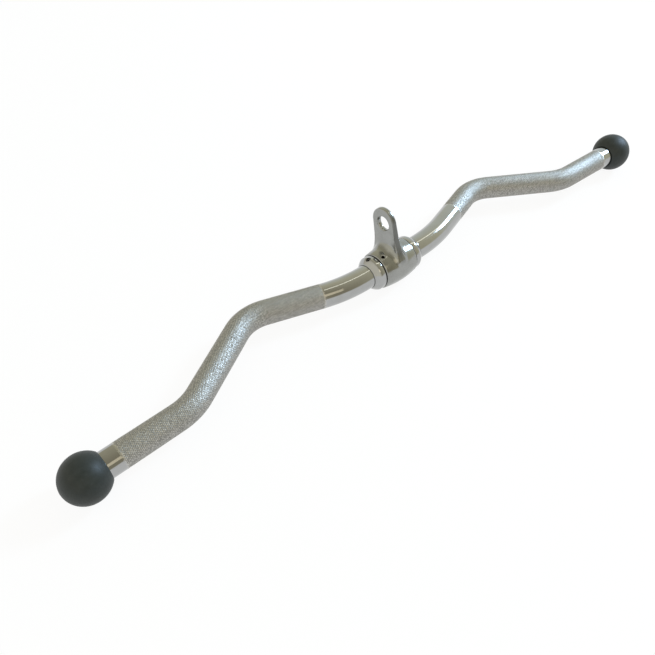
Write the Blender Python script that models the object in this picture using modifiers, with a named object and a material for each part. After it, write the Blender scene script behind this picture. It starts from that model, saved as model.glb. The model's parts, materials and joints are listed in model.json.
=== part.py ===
"""Triceps cable bar: a bent one-inch steel bar that turns inside a cast swivel hanger.

The bar's centreline lies in one level plane. X runs along the bar, +Y is the side that the
crests of the hand grips bend toward, and +Z is up. The two rubber balls rest on z = 0, and the
hanger's lug stands up from the middle, leaning back toward +Y. Lengths are in metres.
"""

import math

import bmesh
import bpy
from mathutils import Matrix, Vector

MM = 0.001

# Bar
BAR_DIAMETER = 25.4 * MM
CREST_X = 164.5 * MM            # corner of the grip crest, from the bar's middle
CREST_RISE = 32.5 * MM          # how far that corner stands off the swivel axis
VALLEY_X = 262.0 * MM           # corner where the outer handle begins
VALLEY_DROP = 25.5 * MM
END_X = 363.0 * MM              # centre of the ball end
END_DROP = 29.0 * MM
HANGER_BEND_RADIUS = 164.0 * MM
CREST_BEND_RADIUS = 44.0 * MM
VALLEY_BEND_RADIUS = 58.0 * MM
COLLAR_RUNOUT = 4.5 * MM        # straight bar left between a collar and the first bend

# Ball ends
BALL_WALL = 9.3 * MM            # rubber between the bar and the widest part of the ball
BALL_END_WALL = 8.0 * MM        # rubber beyond the end of the bar
BALL_MOUTH_EDGE = 0.8 * MM

# Swivel hanger
BARREL_LENGTH = 42.0 * MM
BARREL_END_WALL = 3.8 * MM
BARREL_SWELL = 2.2 * MM         # extra radius at mid length
BARREL_END_CHAMFER = 0.9 * MM
LUG_LEAN = math.radians(15.5)   # from straight up, toward +Y
EYE_HEIGHT = 47.4 * MM          # swivel axis to the centre of the eye
EYE_DIAMETER = 15.0 * MM
EYE_CHAMFER = 2.1 * MM
EYE_SIDE_LAND = 7.7 * MM        # metal beside the eye, and the radius of the tip beyond the eye's
EYE_TIP_LAND = 9.4 * MM         # metal above the eye
LUG_THICKNESS = 5.6 * MM        # all round the eye
LUG_ROOT_THICKNESS = 7.4 * MM   # where the lug would meet the barrel if it had no fillet
LUG_ROOT_WIDTH = 32.2 * MM      # across the shank, just above the barrel
LUG_FACE_FILLET = 7.0 * MM      # between the lug's faces and the barrel
LUG_SIDE_FILLET = 26.0 * MM     # along the lug's edges, where they run out onto the barrel
LUG_SKIRT = 10.0 * MM           # how far below the barrel's top those edges reach
LUG_EDGE_ROUND = 1.1 * MM
OIL_HOLE_DIAMETER = 2.6 * MM
OIL_HOLE_FROM_END = 5.5 * MM
OIL_HOLE_ANGLE = math.radians(-27.0)   # from the lug, seen along +X

# Bushes and thrust washers
BUSH_WALL = 2.4 * MM
BUSH_LENGTH = 14.0 * MM
BUSH_STEP = 1.1 * MM            # height of the ledge that the bush seats on
WASHER_THICKNESS = 0.9 * MM
WASHER_EDGE = 0.3 * MM          # how far the washer stays inside the collar's rim

# Set collars
COLLAR_WALL = 5.4 * MM
COLLAR_LENGTH = 11.0 * MM
COLLAR_SHOULDER = 6.5 * MM      # length of the shoulder that runs down to the bar
COLLAR_SHOULDER_CURVE = 1.35    # 1 is a cone, 2 is round
COLLAR_FOOT_WALL = 1.2 * MM     # what is left of the wall at the shoulder's foot
SCREW_DIAMETER = 5.0 * MM
SCREW_SOCKET = 2.5 * MM         # across the flats
SCREW_SOCKET_DEPTH = 1.8 * MM
SCREW_RECESS = 0.3 * MM         # the screw's top lies this far below the collar's surface
SCREW_ANGLES = {"left": math.radians(16.0), "right": math.radians(120.0)}  # from straight up, toward +Y

# Gaps
RUNNING_GAP = 0.3 * MM          # between a turning piece and the one it turns on or beside
SEAT_GAP = 0.3 * MM             # between pieces that don't move on each other

# Facets
BAR_SIDES = 24
ROUND_STEPS = 32
BARREL_STEPS = 48
BEND_STEP = math.radians(4.5)
PROFILE_STEPS = 6
LUG_COLUMNS = 8

# Sizes that follow
BAR_RADIUS = BAR_DIAMETER / 2
BALL_RADIUS = BAR_RADIUS + BALL_WALL
BUSH_BORE = BAR_RADIUS + RUNNING_GAP
BUSH_RADIUS = BUSH_BORE + BUSH_WALL
BARREL_BORE = BUSH_RADIUS + SEAT_GAP
BARREL_END_RADIUS = BARREL_BORE + BARREL_END_WALL
BARREL_MID_RADIUS = BARREL_END_RADIUS + BARREL_SWELL
BARREL_NECK = BARREL_BORE - BUSH_STEP
COLLAR_BORE = BAR_RADIUS + SEAT_GAP
COLLAR_RADIUS = COLLAR_BORE + COLLAR_WALL
COLLAR_FOOT_RADIUS = COLLAR_BORE + COLLAR_FOOT_WALL
WASHER_RADIUS = COLLAR_RADIUS - WASHER_EDGE
EYE_RADIUS = EYE_DIAMETER / 2
LUG_TIP_RADIUS = EYE_RADIUS + EYE_SIDE_LAND
LUG_TIP_HEIGHT = EYE_HEIGHT + EYE_RADIUS + EYE_TIP_LAND
LUG_TIP_CENTRE = LUG_TIP_HEIGHT - LUG_TIP_RADIUS
LUG_TAPER_TOP = EYE_HEIGHT - LUG_TIP_RADIUS
WASHER_FACE = BARREL_LENGTH / 2 + RUNNING_GAP
COLLAR_FACE = WASHER_FACE + WASHER_THICKNESS + SEAT_GAP
STRAIGHT_HALF = COLLAR_FACE + COLLAR_LENGTH + COLLAR_RUNOUT
BAR_PAST_BALL_CENTRE = BALL_RADIUS - BALL_END_WALL - SEAT_GAP
SCREW_RADIUS = SCREW_DIAMETER / 2

CHROME = ("chrome", (0.62, 0.62, 0.58), 0.12, 1.0)
CAST_CHROME = ("cast_chrome", (0.58, 0.58, 0.54), 0.2, 1.0)
RUBBER = ("rubber", (0.035, 0.042, 0.045), 0.6, 0.0)
BRONZE = ("bronze", (0.45, 0.28, 0.12), 0.35, 1.0)
NYLON = ("nylon", (0.02, 0.02, 0.02), 0.5, 0.0)
BLACK_STEEL = ("black_steel", (0.06, 0.06, 0.065), 0.4, 1.0)


def clear_scene():
    for obj in list(bpy.data.objects):
        bpy.data.objects.remove(obj, do_unlink=True)


def new_collection(name):
    collection = bpy.data.collections.new(name)
    bpy.context.scene.collection.children.link(collection)
    return collection


def paint(obj, finish):
    """Give an object its Principled material."""
    name, colour, roughness, metallic = finish
    material = bpy.data.materials.get(name) or bpy.data.materials.new(name)
    material.use_nodes = True
    shader = material.node_tree.nodes["Principled BSDF"]
    shader.inputs["Base Color"].default_value = (*colour, 1.0)
    shader.inputs["Roughness"].default_value = roughness
    shader.inputs["Metallic"].default_value = metallic
    obj.data.materials.clear()
    obj.data.materials.append(material)


def add_object(name, data, collection, parent=None, location=(0, 0, 0), rotation=(0, 0, 0)):
    obj = bpy.data.objects.new(name, data)
    obj.parent = parent
    obj.location = location
    obj.rotation_euler = rotation
    collection.objects.link(obj)
    return obj


def mesh_from(bm, name):
    bmesh.ops.recalc_face_normals(bm, faces=bm.faces)
    mesh = bpy.data.meshes.new(name)
    bm.to_mesh(mesh)
    bm.free()
    mesh.shade_smooth()
    mesh.set_sharp_from_angle(angle=math.radians(30))
    return mesh


def arc(centre, radius, start, end, steps):
    """Points on a circular arc, both ends included."""
    points = []
    for i in range(steps + 1):
        angle = start + (end - start) * i / steps
        points.append((centre[0] + radius * math.cos(angle), centre[1] + radius * math.sin(angle)))
    return points


def turned(name, profile, closed, collection, parent, location=(0, 0, 0), flip=False, steps=ROUND_STEPS):
    """Turn (radius, along) points about the world X axis; along points to +X, or to -X if flipped.

    The profile runs down its outer side, from the largest along to the smallest.
    """
    mesh = bpy.data.meshes.new(name)
    vertices = [(radius, 0, along) for radius, along in profile]
    edges = [(i, i + 1) for i in range(len(vertices) - 1)]
    if closed:
        edges.append((len(vertices) - 1, 0))
    mesh.from_pydata(vertices, edges, [])
    quarter = -math.pi / 2 if flip else math.pi / 2
    obj = add_object(name, mesh, collection, parent, location, (0, quarter, 0))
    screw = obj.modifiers.new("Turn", "SCREW")
    screw.axis = "Z"
    screw.steps = steps
    screw.render_steps = steps
    screw.use_merge_vertices = True
    screw.merge_threshold = 0.00001
    screw.use_smooth_shade = True
    return obj


def cylinder_cutter(name, radius, depth, matrix, cutters, parent, sides=24):
    """A cylinder along its own Z, centred on its origin, that only cuts."""
    bm = bmesh.new()
    bmesh.ops.create_cone(bm, cap_ends=True, segments=sides, radius1=radius, radius2=radius, depth=depth)
    obj = add_object(name, mesh_from(bm, name), cutters, parent)
    obj.matrix_local = matrix
    return hide_cutter(obj)


def hide_cutter(obj):
    obj.hide_render = True
    obj.display_type = "WIRE"
    return obj


def boolean(obj, other, operation):
    modifier = obj.modifiers.new(operation.title(), "BOOLEAN")
    modifier.operation = operation
    modifier.solver = "EXACT"
    modifier.object = other


def bar_centreline():
    """Half of the bar's centreline, from its middle to its end, as (x, y) points."""
    crest = Vector((CREST_X, CREST_RISE))
    valley = Vector((VALLEY_X, -VALLEY_DROP))
    end = Vector((END_X, -END_DROP))
    bend_centre = Vector((STRAIGHT_HALF, HANGER_BEND_RADIUS))
    to_crest = crest - bend_centre
    rise = math.atan2(to_crest.y, to_crest.x) + math.asin(HANGER_BEND_RADIUS / to_crest.length)
    steps = max(2, round(rise / BEND_STEP))
    points = [Vector((0, 0))]
    bend = arc(bend_centre, HANGER_BEND_RADIUS, -math.pi / 2, rise - math.pi / 2, steps)
    points += [Vector(point) for point in bend]
    start = points[-1]
    for corner, radius, after in ((crest, CREST_BEND_RADIUS, valley), (valley, VALLEY_BEND_RADIUS, end)):
        points += rounded_corner(start, corner, after, radius)
        start = corner
    way = (end - valley).normalized()
    points.append(end + way * BAR_PAST_BALL_CENTRE)
    return points


def rounded_corner(before, corner, after, radius):
    """Points of the bend that rounds one corner of the centreline."""
    way_in = (corner - before).normalized()
    way_out = (after - corner).normalized()
    turn = way_in.angle_signed(way_out) * -1
    reach = radius * math.tan(abs(turn) / 2)
    side = math.copysign(1, turn)
    first = corner - way_in * reach
    centre = first + Vector((-way_in.y, way_in.x)) * radius * side
    start_angle = math.atan2(first.y - centre.y, first.x - centre.x)
    steps = max(2, round(abs(turn) / BEND_STEP))
    return [Vector(point) for point in arc(centre, radius, start_angle, start_angle + turn, steps)]


def end_heading():
    """Angle of the bar's last straight stretch, from +X."""
    return math.atan2(VALLEY_DROP - END_DROP, END_X - VALLEY_X)


def make_bar(half, parts, rig):
    """The bent bar: one round bar on the whole centreline."""
    left = [Vector((-point.x, point.y)) for point in reversed(half[1:])]
    points = left + half[1:]
    curve = bpy.data.curves.new("bent_bar", "CURVE")
    curve.dimensions = "3D"
    curve.twist_mode = "Z_UP"
    curve.bevel_depth = BAR_RADIUS
    curve.bevel_resolution = (BAR_SIDES - 4) // 2
    curve.use_fill_caps = True
    spline = curve.splines.new("POLY")
    spline.points.add(len(points) - 1)
    for spline_point, point in zip(spline.points, points):
        spline_point.co = (point.x, point.y, 0, 1)
    bar = add_object("bent_bar", curve, parts, rig)
    paint(bar, CHROME)


def make_ball(name, side, parts, rig):
    """A rubber ball pushed over the end of the bar, turned about the bar's last straight."""
    socket = BAR_RADIUS + SEAT_GAP
    mouth = math.sqrt(BALL_RADIUS ** 2 - (socket + BALL_MOUTH_EDGE) ** 2)
    start = math.atan2(mouth, socket + BALL_MOUTH_EDGE)
    outside = arc((0, 0), BALL_RADIUS, start, -math.pi / 2, 3 * PROFILE_STEPS)
    outside[-1] = (0, -BALL_RADIUS)
    floor = -(BAR_PAST_BALL_CENTRE + SEAT_GAP)
    inside = [(0, floor), (socket, floor), (socket, mouth - BALL_MOUTH_EDGE)]
    ball = turned(name, inside + outside, False, parts, rig)
    ball.location = (side * END_X, -END_DROP, 0)
    heading = end_heading() if side > 0 else math.pi - end_heading()
    inward = Vector((-math.cos(heading), -math.sin(heading), 0))
    ball.rotation_euler = inward.to_track_quat("Z", "Y").to_euler()
    paint(ball, RUBBER)


def collar_radius_at(along):
    """Outer radius of a collar at a distance from its inner face."""
    share = max(0.0, 1 - (COLLAR_LENGTH - along) / COLLAR_SHOULDER)
    return COLLAR_RADIUS - (COLLAR_RADIUS - COLLAR_FOOT_RADIUS) * share ** COLLAR_SHOULDER_CURVE


def make_collar(name, side, screw_angle, parts, cutters, rig):
    """A set collar: a ring whose shoulder runs down to the bar, with a radial screw hole."""
    profile = [(COLLAR_BORE, COLLAR_LENGTH)]
    for i in range(PROFILE_STEPS + 1):
        along = COLLAR_LENGTH - COLLAR_SHOULDER * i / PROFILE_STEPS
        profile.append((collar_radius_at(along), along))
    profile += [(COLLAR_RADIUS, 0), (COLLAR_BORE, 0)]
    collar = turned(name, profile, True, parts, rig, (side * COLLAR_FACE, 0, 0), flip=side < 0)
    hole = screw_place(side, screw_angle, BAR_RADIUS + COLLAR_WALL)
    cutter = cylinder_cutter(name + "_screw_hole", SCREW_RADIUS + SEAT_GAP, 2 * COLLAR_WALL, hole, cutters, rig)
    boolean(collar, cutter, "DIFFERENCE")
    paint(collar, CHROME)


def screw_place(side, angle, radius):
    """Place on a collar's screw axis at a radius from the swivel axis."""
    return radial_place(side * (COLLAR_FACE + COLLAR_LENGTH / 2), angle, radius)


def radial_place(x, angle, radius):
    """Matrix that stands an object's Z out from the swivel axis, at an angle from straight up."""
    turn = Matrix.Rotation(-angle, 4, "X")
    return Matrix.Translation((x, 0, 0)) @ turn @ Matrix.Translation((0, 0, radius))


def make_set_screw(name, side, angle, parts, cutters, rig):
    """A socket set screw that stands on the bar, its top just under the collar's surface."""
    tip = BAR_RADIUS + SEAT_GAP
    top = collar_radius_at(COLLAR_LENGTH / 2 + SCREW_RADIUS) - SCREW_RECESS
    bm = bmesh.new()
    bmesh.ops.create_cone(bm, cap_ends=True, segments=16, radius1=SCREW_RADIUS, radius2=SCREW_RADIUS,
                          depth=top - tip)
    screw = add_object(name, mesh_from(bm, name), parts, rig)
    screw.matrix_local = screw_place(side, angle, (top + tip) / 2)
    socket = cylinder_cutter(name + "_socket", SCREW_SOCKET / math.sqrt(3), 2 * SCREW_SOCKET_DEPTH,
                             screw_place(side, angle, top), cutters, rig, sides=6)
    boolean(screw, socket, "DIFFERENCE")
    paint(screw, BLACK_STEEL)


def make_washer(name, side, parts, rig):
    """A thin thrust washer between the barrel and a collar."""
    bore = BAR_RADIUS + SEAT_GAP
    thick = WASHER_THICKNESS
    profile = [(WASHER_RADIUS, thick), (WASHER_RADIUS, 0), (bore, 0), (bore, thick)]
    washer = turned(name, profile, True, parts, rig, (side * WASHER_FACE, 0, 0), flip=side < 0)
    paint(washer, NYLON)


def make_bush(name, side, oil_cutter, parts, hanger_rig):
    """A plain bush, seated on the ledge inside the barrel, flush with the barrel's end."""
    profile = [(BUSH_RADIUS, BUSH_LENGTH), (BUSH_RADIUS, 0), (BUSH_BORE, 0), (BUSH_BORE, BUSH_LENGTH)]
    inner_face = BARREL_LENGTH / 2 - BUSH_LENGTH
    bush = turned(name, profile, True, parts, hanger_rig, (side * inner_face, 0, 0), flip=side < 0)
    if oil_cutter:
        boolean(bush, oil_cutter, "DIFFERENCE")
    paint(bush, BRONZE)


def lug_half_width(height):
    """Half the lug's width at a height above the swivel axis."""
    if height > LUG_TIP_CENTRE:
        return math.sqrt(max(0.0, LUG_TIP_RADIUS ** 2 - (height - LUG_TIP_CENTRE) ** 2))
    share = min(1.0, (LUG_TIP_CENTRE - height) / (LUG_TIP_CENTRE - BARREL_MID_RADIUS))
    shank = LUG_TIP_RADIUS + (LUG_ROOT_WIDTH / 2 - LUG_TIP_RADIUS) * share
    below_barrel_top = max(0.0, BARREL_MID_RADIUS - height)
    return shank + below_barrel_top ** 2 / (2 * LUG_SIDE_FILLET)


def lug_half_thickness(across, height):
    """Half the lug's thickness at a place on its face, fillet onto the barrel included."""
    share = (LUG_TAPER_TOP - height) / (LUG_TAPER_TOP - BARREL_MID_RADIUS)
    share = min(1.0, max(0.0, share))
    plate = (LUG_THICKNESS + (LUG_ROOT_THICKNESS - LUG_THICKNESS) * share) / 2
    off_barrel = max(0.0, math.hypot(across, height) - BARREL_MID_RADIUS)
    into_fillet = max(0.0, LUG_FACE_FILLET - off_barrel)
    return plate + LUG_FACE_FILLET - math.sqrt(LUG_FACE_FILLET ** 2 - into_fillet ** 2)


def lug_section(height):
    """Closed ring of (across, through) points around the lug at a height above the swivel axis."""
    half_width = lug_half_width(height)
    edge = min(LUG_EDGE_ROUND, half_width / 2)
    flat = half_width - edge
    face = []
    for across, inset in arc((flat, -edge), edge, 0, math.pi / 2, 2):
        face.append((across, inset))
    for i in range(1, LUG_COLUMNS):
        face.append((flat * (1 - 2 * i / LUG_COLUMNS), 0))
    for across, inset in arc((-flat, -edge), edge, math.pi / 2, math.pi, 2):
        face.append((across, inset))
    front = [(across, lug_half_thickness(across, height) + inset) for across, inset in face]
    back = [(across, -through) for across, through in reversed(front)]
    return front + back


def lug_heights():
    """Heights of the lug's sections: out of the barrel, up the fillet, and round the tip."""
    rows = 2 * PROFILE_STEPS
    start = BARREL_MID_RADIUS - LUG_SKIRT
    fillet_top = BARREL_MID_RADIUS + LUG_FACE_FILLET
    heights = [start + (fillet_top - start) * i / rows for i in range(rows + 1)]
    heights.append(LUG_TAPER_TOP)
    for i in range(rows):
        heights.append(LUG_TIP_CENTRE + LUG_TIP_RADIUS * math.sin(math.pi / 2 * i / rows))
    return sorted(heights)


def make_lug(cutters, hanger_rig):
    """The lug as a loft of sections, from inside the barrel to the round tip."""
    bm = bmesh.new()
    rings = []
    for height in lug_heights():
        rings.append([bm.verts.new((x, y, height)) for y, x in lug_section(height)])
    for lower, upper in zip(rings, rings[1:]):
        for i in range(len(lower)):
            j = (i + 1) % len(lower)
            bm.faces.new((lower[i], lower[j], upper[j], upper[i]))
    bm.faces.new(rings[0])
    bm.faces.new(rings[-1])
    return hide_cutter(add_object("lug_blank", mesh_from(bm, "lug_blank"), cutters, hanger_rig))


def barrel_radius(along):
    """Outer radius of the swelling barrel at a distance from its middle."""
    share = 2 * along / BARREL_LENGTH
    return BARREL_MID_RADIUS - BARREL_SWELL * share ** 2


def make_hanger(parts, cutters, hanger_rig, oil_cutter):
    """The cast hanger: a swelling barrel and its lug, bored for the bushes and drilled for the eye."""
    half = BARREL_LENGTH / 2
    chamfer = BARREL_END_CHAMFER
    steps = 2 * PROFILE_STEPS
    side = []
    for i in range(steps + 1):
        along = (half - chamfer) * (1 - 2 * i / steps)
        side.append((barrel_radius(along), along))
    ends = barrel_radius(half) - chamfer
    profile = [(0, half), (ends, half)] + side + [(ends, -half), (0, -half)]
    hanger = turned("swivel_hanger", profile, False, parts, hanger_rig, steps=BARREL_STEPS)
    boolean(hanger, make_lug(cutters, hanger_rig), "UNION")
    boolean(hanger, make_bore_cutter(cutters, hanger_rig), "DIFFERENCE")
    boolean(hanger, make_eye_cutter(cutters, hanger_rig), "DIFFERENCE")
    boolean(hanger, oil_cutter, "DIFFERENCE")
    paint(hanger, CAST_CHROME)


def make_bore_cutter(cutters, hanger_rig):
    """The barrel's bore: wide at both ends for the bushes, with a narrower neck between them."""
    half = BARREL_LENGTH / 2
    neck = half - BUSH_LENGTH - SEAT_GAP
    past = half + LUG_FACE_FILLET
    profile = [(0, past), (BARREL_BORE, past), (BARREL_BORE, neck), (BARREL_NECK, neck),
               (BARREL_NECK, -neck), (BARREL_BORE, -neck), (BARREL_BORE, -past), (0, -past)]
    return hide_cutter(turned("bore_cutter", profile, False, cutters, hanger_rig))


def make_eye_cutter(cutters, hanger_rig):
    """The eye's bore, wider outside each face so that its rims are chamfered."""
    face = LUG_THICKNESS / 2
    past = LUG_THICKNESS
    rim = face - min(EYE_CHAMFER, face / 2 + face / 4)
    outside = EYE_RADIUS + past - rim
    profile = [(0, past), (outside, past), (EYE_RADIUS, rim), (EYE_RADIUS, -rim), (outside, -past), (0, -past)]
    return hide_cutter(turned("eye_cutter", profile, False, cutters, hanger_rig, (0, 0, EYE_HEIGHT)))


def main():
    clear_scene()
    parts = new_collection("triceps_cable_bar")
    cutters = new_collection("cutters")
    half = bar_centreline()
    high = max(point.y for point in half) + BAR_RADIUS
    low = -END_DROP - BALL_RADIUS
    rig = add_object("bar_rig", None, parts, None, (0, -(high + low) / 2, BALL_RADIUS))
    hanger_rig = add_object("hanger_rig", None, parts, rig, (0, 0, 0), (-LUG_LEAN, 0, 0))

    make_bar(half, parts, rig)
    make_ball("ball_end_left", -1, parts, rig)
    make_ball("ball_end_right", 1, parts, rig)
    oil_x = OIL_HOLE_FROM_END - BARREL_LENGTH / 2
    oil_cutter = cylinder_cutter("oil_hole_cutter", OIL_HOLE_DIAMETER / 2, BARREL_MID_RADIUS,
                                 radial_place(oil_x, OIL_HOLE_ANGLE, BARREL_MID_RADIUS), cutters,
                                 hanger_rig, sides=12)
    make_hanger(parts, cutters, hanger_rig, oil_cutter)
    make_bush("bush_left", -1, oil_cutter, parts, hanger_rig)
    make_bush("bush_right", 1, None, parts, hanger_rig)
    for name, side in (("left", -1), ("right", 1)):
        make_washer("thrust_washer_" + name, side, parts, rig)
        make_collar("set_collar_" + name, side, SCREW_ANGLES[name], parts, cutters, rig)
        make_set_screw("set_screw_" + name, side, SCREW_ANGLES[name], parts, cutters, rig)


main()
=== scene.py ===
"""Finished surface of a triceps cable bar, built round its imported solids.

The bent bar is swept along its centreline with a raised diamond knurl on the hand grips. The
swivel hanger is one cast surface. Balls, collars, washers and screws are turned. Everything is in
metres, in the frame of the solids: X along the bar, +Y toward the crests of the grips, +Z up.
"""

import json
import math

import bmesh
import bpy
import numpy as np
from bpy.props import FloatProperty, FloatVectorProperty, IntProperty, PointerProperty
from mathutils import Matrix, Vector


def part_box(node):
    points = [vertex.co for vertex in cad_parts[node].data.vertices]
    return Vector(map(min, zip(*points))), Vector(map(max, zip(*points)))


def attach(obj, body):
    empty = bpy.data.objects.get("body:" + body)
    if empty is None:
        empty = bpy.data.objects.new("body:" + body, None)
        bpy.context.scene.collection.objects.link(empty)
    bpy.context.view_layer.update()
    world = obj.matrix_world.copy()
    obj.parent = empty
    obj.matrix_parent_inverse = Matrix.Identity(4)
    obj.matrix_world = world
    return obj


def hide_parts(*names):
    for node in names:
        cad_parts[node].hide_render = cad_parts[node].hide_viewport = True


bl_info = {
    "name": "Triceps Cable Bar",
    "version": (1, 0, 0),
    "blender": (4, 5, 0),
    "location": "3D View > Sidebar > Cable Bar",
    "description": "Builds the finished surface of a triceps cable bar with a swivel hanger",
    "category": "Object",
}

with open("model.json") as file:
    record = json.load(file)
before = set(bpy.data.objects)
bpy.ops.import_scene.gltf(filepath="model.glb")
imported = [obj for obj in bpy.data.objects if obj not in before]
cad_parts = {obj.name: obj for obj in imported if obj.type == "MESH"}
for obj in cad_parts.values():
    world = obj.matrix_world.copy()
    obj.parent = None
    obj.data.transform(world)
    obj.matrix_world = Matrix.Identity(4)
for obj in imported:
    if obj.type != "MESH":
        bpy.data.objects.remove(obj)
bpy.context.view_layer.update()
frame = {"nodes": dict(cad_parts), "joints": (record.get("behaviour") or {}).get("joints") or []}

MM = 0.001

BALL_LOW, BALL_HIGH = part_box("ball_end_right")
COLLAR_LOW, COLLAR_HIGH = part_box("set_collar_right")
WASHER_LOW, WASHER_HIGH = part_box("thrust_washer_right")
SWIVEL = Vector(frame["joints"][0]["pos_m"])      # a point on the axis that the hanger turns about
BALL_RADIUS = (BALL_HIGH.y - BALL_LOW.y) / 2

SIDES = {"left": -1, "right": 1}
SCREW_ANGLES = {"left": math.radians(16.0), "right": math.radians(120.0)}   # from straight up, toward +Y
SHOULDER_CURVE = 1.35       # a collar's shoulder is a straight cone at 1, and rounder above
SHARP_EDGE = math.radians(40)
FINE_SHARP_EDGE = math.radians(30)
WELD = 0.001 * MM
SEAM_NEIGHBOURS = (-1.1, -0.6, 0.6, 1.1)    # degrees from the seam to the extra lines beside it
SCREW_SIDES = 48

SENSOR_WIDTH = 36.0         # millimetres
CAMERA_PLACE = Vector((-0.3879, -0.3474, 0.4889))
CAMERA_RIGHT = Vector((0.7636, -0.6457, 0.0053))
CAMERA_FORWARD = Vector((0.4382, 0.5122, -0.7386))
WINDOW_SIDE = (0.95, 0.25, 0)
BACKDROP_SHARE = 0.92       # the rest of the floor stays lit, and carries the shadow


def length(name, description, millimetres):
    """A size that a user can change, kept in metres."""
    return FloatProperty(name=name, description=description, default=millimetres * MM, min=0.0,
                         precision=5, subtype="DISTANCE", unit="LENGTH")


def colour(name, description, default):
    """A colour that a user can change."""
    return FloatVectorProperty(name=name, description=description, default=default, size=3, min=0.0,
                               max=1.0, subtype="COLOR")


def share(name, description, default):
    """A plain factor that a user can change."""
    return FloatProperty(name=name, description=description, default=default, min=0.0, subtype="FACTOR")


def rotation(name, description, degrees):
    """An angle that a user can change."""
    return FloatProperty(name=name, description=description, default=math.radians(degrees),
                         subtype="ANGLE", unit="ROTATION")


def power(name, description, default):
    """A lamp's power that a user can change."""
    return FloatProperty(name=name, description=description, default=default, min=0.0, unit="POWER")


class BarSizes(bpy.types.PropertyGroup):
    """Sizes of the bent bar and its knurl"""

    diameter: length("Diameter", "Diameter of the round bar", 25.4)
    straight_half: length("Straight Half", "Straight bar each side of the middle", 38.0)
    crest_x: length("Crest X", "Corner of the grip crest from the middle", 164.5)
    crest_rise: length("Crest Rise", "The crest's corner from the axis", 32.5)
    valley_x: length("Valley X", "Corner where the outer handle begins", 262.0)
    valley_drop: length("Valley Drop", "That corner behind the axis", 25.5)
    end_x: length("End X", "Centre of the ball end from the middle", 363.0)
    end_drop: length("End Drop", "The ball's centre behind the axis", 29.0)
    hanger_bend: length("Hanger Bend", "Radius of the bend beside the hanger", 164.0)
    crest_bend: length("Crest Bend", "Radius of the bend at the crest", 44.0)
    valley_bend: length("Valley Bend", "Radius of the bend at the outer handle", 58.0)
    past_ball: length("Past Ball Centre", "How far the bar runs on in the ball", 13.7)
    knurl_pitch: length("Knurl Pitch", "Width of one knurl diamond round the bar", 1.9)
    knurl_length: length("Knurl Length", "Length of one knurl diamond along the bar", 2.6)
    knurl_depth: length("Knurl Depth", "Groove depth below the bar's surface", 0.40)
    knurl_start_left: length("Left Knurl Start", "Middle of the bar to the left knurl", 88.0)
    knurl_start_right: length("Right Knurl Start", "Middle of the bar to the right knurl", 112.0)
    knurl_to_ball: length("Knurl To Ball", "Ball's centre to the end of the knurl", 29.6)
    ring_step: length("Ring Step", "Spacing of the rings on smooth bar", 2.0)


class HangerSizes(bpy.types.PropertyGroup):
    """Sizes of the cast swivel hanger"""

    lean: rotation("Lean", "Lean of the lug from straight up, toward +Y", 15.5)
    barrel_length: length("Barrel Length", "Length of the barrel", 2 * (WASHER_LOW.x / MM - 0.05))
    barrel_radius: length("Barrel Radius", "Radius of the barrel at mid length", 21.7)
    barrel_swell: length("Barrel Swell", "How much smaller the barrel's ends are", 2.2)
    barrel_edge: length("Barrel Edge", "Rounding of the barrel's ends", 0.9)
    bore_radius: length("Bore Radius", "Radius of the bush seats", 15.7)
    bore_edge: length("Bore Edge", "Rounding of the bore's rims", 0.4)
    eye_height: length("Eye Height", "Swivel axis to the centre of the eye", 47.4)
    eye_radius: length("Eye Radius", "Radius of the eye", 7.5)
    eye_rim: length("Eye Rim", "Rounding of the eye's rims", 2.1)
    tip_height: length("Tip Height", "Swivel axis to the top of the lug", 64.1)
    tip_radius: length("Tip Radius", "Radius of the lug's round tip", 15.1)
    root_width: length("Root Width", "Width of the lug just above the barrel", 32.2)
    thickness: length("Thickness", "Thickness of the lug round the eye", 5.6)
    root_thickness: length("Root Thickness", "Thickness of the lug where it meets the barrel", 7.4)
    face_blend: length("Face Blend", "Blend of the lug's faces into the barrel", 8.2)
    edge_blend: length("Edge Blend", "Blend of the lug's edges into the barrel", 2.6)
    parting_ridge: length("Parting Ridge", "Height of the parting line on the lug's edge", 0.16)
    parting_width: length("Parting Width", "Half the width of the parting line", 0.45)
    parting_reach: length("Parting Reach", "Parting line in from the lug's edge", 1.0)
    parting_offset: length("Parting Offset", "Parting line from the lug's middle plane", 0.5)
    side_fillet: length("Side Fillet", "Fillet between the lug's edges and the barrel", 70.0)
    edge_round: length("Edge Round", "Rounding of the lug's edges", 1.4)
    root_round: length("Root Round", "Rounding of the lug's root inside the barrel", 3.0)
    foot_flare: length("Foot Flare", "How much the lug spreads at its foot", 1.7)
    foot_height: length("Foot Height", "Height over which the lug spreads", 3.2)
    oil_hole_radius: length("Oil Hole Radius", "Radius of the oil hole", 1.6)
    oil_hole_rim: length("Oil Hole Rim", "Rounding of the oil hole's rim", 1.1)
    oil_hole_from_end: length("Oil Hole From End", "Barrel's left end to the oil hole", 5.5)
    oil_hole_angle: rotation("Oil Hole Angle", "Angle of the oil hole from the lug", -27.0)
    unevenness: length("Unevenness", "How far the cast surface wanders", 0.05)
    voxel: length("Voxel", "Size of the surface's facets", 0.43)


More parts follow.
